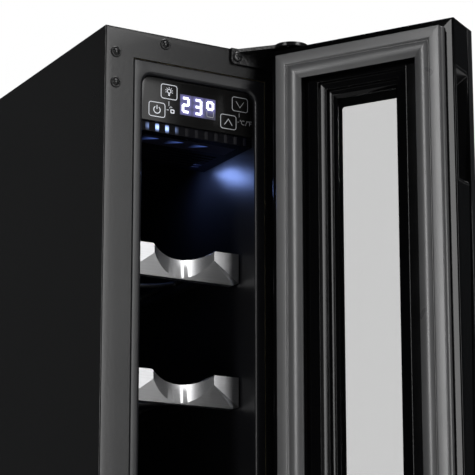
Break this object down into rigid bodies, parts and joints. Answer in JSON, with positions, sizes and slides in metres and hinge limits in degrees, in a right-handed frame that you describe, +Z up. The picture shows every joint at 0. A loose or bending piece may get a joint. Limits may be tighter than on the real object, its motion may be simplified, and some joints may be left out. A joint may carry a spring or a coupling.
{
  "type": "wine cooler",
  "caption": "Narrow black built-in wine cooler with a right-hung glass door standing open, a column of lying-bottle shelves, a touch panel at the top and a compressor below.",
  "frame": {"origin": "on the floor, under the middle of the cabinet's width and depth (the door isn't counted)", "axes": "+Z up, +X to the right as seen from the front, +Y to the back; the door is on the -Y side"},
  "size_m": [0.219, 0.6588, 0.87],
  "materials": {
    "black_shell": "satin",
    "back_steel": "matte",
    "zinc_steel": "satin",
    "black_rail": "satin",
    "foam": "matte",
    "liner_plastic": "satin",
    "panel_gloss": "gloss",
    "housing_plastic": "matte",
    "display": "gloss",
    "circuit_board": "satin",
    "light_board": "satin",
    "diffuser": "satin",
    "duct_plastic": "matte",
    "coil_aluminium": "satin",
    "fan_plastic": "matte",
    "plug_plastic": "satin",
    "hinge_paint": "matte",
    "pin_steel": "polished",
    "screw_steel": "satin",
    "kick_paint": "satin",
    "rear_steel": "satin",
    "compressor_paint": "satin",
    "grommet_rubber": "matte",
    "coil_paint": "matte",
    "pan_plastic": "satin",
    "tube_plastic": "satin",
    "copper": "satin",
    "box_plastic": "matte",
    "gland_rubber": "matte",
    "foot_rubber": "matte",
    "door_plastic": "satin",
    "gasket_rubber": "satin",
    "tinted_glass": "gloss",
    "clear_glass": "gloss",
    "spacer": "matte",
    "door_trim": "satin",
    "pocket_plastic": "satin",
    "bush_plastic": "satin",
    "wire": "satin",
    "shelf_steel": "satin"
  },
  "bodies": {
    "cabinet": {"side_shell": "black_shell", "back_panel": "back_steel", "base_tray": "zinc_steel", "lower_front_rail": "black_rail", "foam_insulation": "foam", "inner_liner": "liner_plastic", "control_housing": "housing_plastic", "touch_panel": "panel_gloss", "display_module": "display", "control_board": "circuit_board", "light_board": "light_board", "light_cover": "diffuser", "air_duct_cover": "duct_plastic", "evaporator": "coil_aluminium", "fan_frames": "fan_plastic", "hinge_plugs": "plug_plastic", "top_hinge_bracket": "hinge_paint", "bottom_hinge_bracket": "hinge_paint", "hinge_pins": "pin_steel", "hinge_screws": "screw_steel", "kick_grille": "kick_paint", "rear_cover": "rear_steel", "panel_screws": "screw_steel", "compressor": "compressor_paint", "compressor_grommets": "grommet_rubber", "condenser_coil": "coil_paint", "drain_pan": "pan_plastic", "drain_tube": "tube_plastic", "filter_drier": "copper", "refrigerant_lines": "copper", "power_box": "box_plastic", "cord_gland": "gland_rubber", "rear_feet": "foot_rubber"},
    "condenser_fan": {"condenser_fan": "fan_plastic"},
    "evaporator_fan": {"evaporator_fan": "fan_plastic"},
    "left_levelling_foot": {"left_levelling_foot": "foot_rubber"},
    "right_levelling_foot": {"right_levelling_foot": "foot_rubber"},
    "door": {"door_frame": "door_plastic", "door_plate": "door_plastic", "door_gasket": "gasket_rubber", "front_glass": "tinted_glass", "inner_glass": "clear_glass", "glazing_spacer": "spacer", "front_trim": "door_trim", "handle_pocket": "pocket_plastic", "hinge_bushes": "bush_plastic"},
    "shelf_1": {"shelf_rack_1": "wire", "shelf_front_1": "shelf_steel"},
    "shelf_2": {"shelf_rack_2": "wire", "shelf_front_2": "shelf_steel"},
    "shelf_3": {"shelf_rack_3": "wire", "shelf_front_3": "shelf_steel"},
    "shelf_4": {"shelf_rack_4": "wire", "shelf_front_4": "shelf_steel"},
    "shelf_5": {"shelf_rack_5": "wire", "shelf_front_5": "shelf_steel"},
    "shelf_6": {"shelf_rack_6": "wire", "shelf_front_6": "shelf_steel"},
    "shelf_7": {"shelf_rack_7": "wire", "shelf_front_7": "shelf_steel"}
  },
  "joints": [
    {"name": "door_hinge", "type": "hinge", "parent": "cabinet", "child": "door", "pos_m": [0.0607, -0.2747, 0.486], "axis": [0, 0, 1], "range_deg": [-120.9, 0]},
    {"name": "shelf_1_slide", "type": "slide", "parent": "cabinet", "child": "shelf_1", "axis": [0, -1, 0], "range_m": [0, 0.2]},
    {"name": "shelf_2_slide", "type": "slide", "parent": "cabinet", "child": "shelf_2", "axis": [0, -1, 0], "range_m": [0, 0.2]},
    {"name": "shelf_3_slide", "type": "slide", "parent": "cabinet", "child": "shelf_3", "axis": [0, -1, 0], "range_m": [0, 0.2]},
    {"name": "shelf_4_slide", "type": "slide", "parent": "cabinet", "child": "shelf_4", "axis": [0, -1, 0], "range_m": [0, 0.2]},
    {"name": "shelf_5_slide", "type": "slide", "parent": "cabinet", "child": "shelf_5", "axis": [0, -1, 0], "range_m": [0, 0.2]},
    {"name": "shelf_6_slide", "type": "slide", "parent": "cabinet", "child": "shelf_6", "axis": [0, -1, 0], "range_m": [0, 0.2]},
    {"name": "shelf_7_slide", "type": "slide", "parent": "cabinet", "child": "shelf_7", "axis": [0, -1, 0], "range_m": [0, 0.2]},
    {"name": "condenser_fan_spin", "type": "hinge", "parent": "cabinet", "child": "condenser_fan", "pos_m": [0, -0.013, 0.0632], "axis": [0, 1, 0], "continuous": true},
    {"name": "evaporator_fan_spin", "type": "hinge", "parent": "cabinet", "child": "evaporator_fan", "pos_m": [0, 0.165, 0.6501], "axis": [0, 1, 0], "continuous": true},
    {"name": "left_foot_turn", "type": "hinge", "parent": "cabinet", "child": "left_levelling_foot", "pos_m": [-0.052, -0.225, 0.01], "axis": [0, 0, 1], "continuous": true},
    {"name": "right_foot_turn", "type": "hinge", "parent": "cabinet", "child": "right_levelling_foot", "pos_m": [0.052, -0.225, 0.01], "axis": [0, 0, 1], "continuous": true}
  ]
}
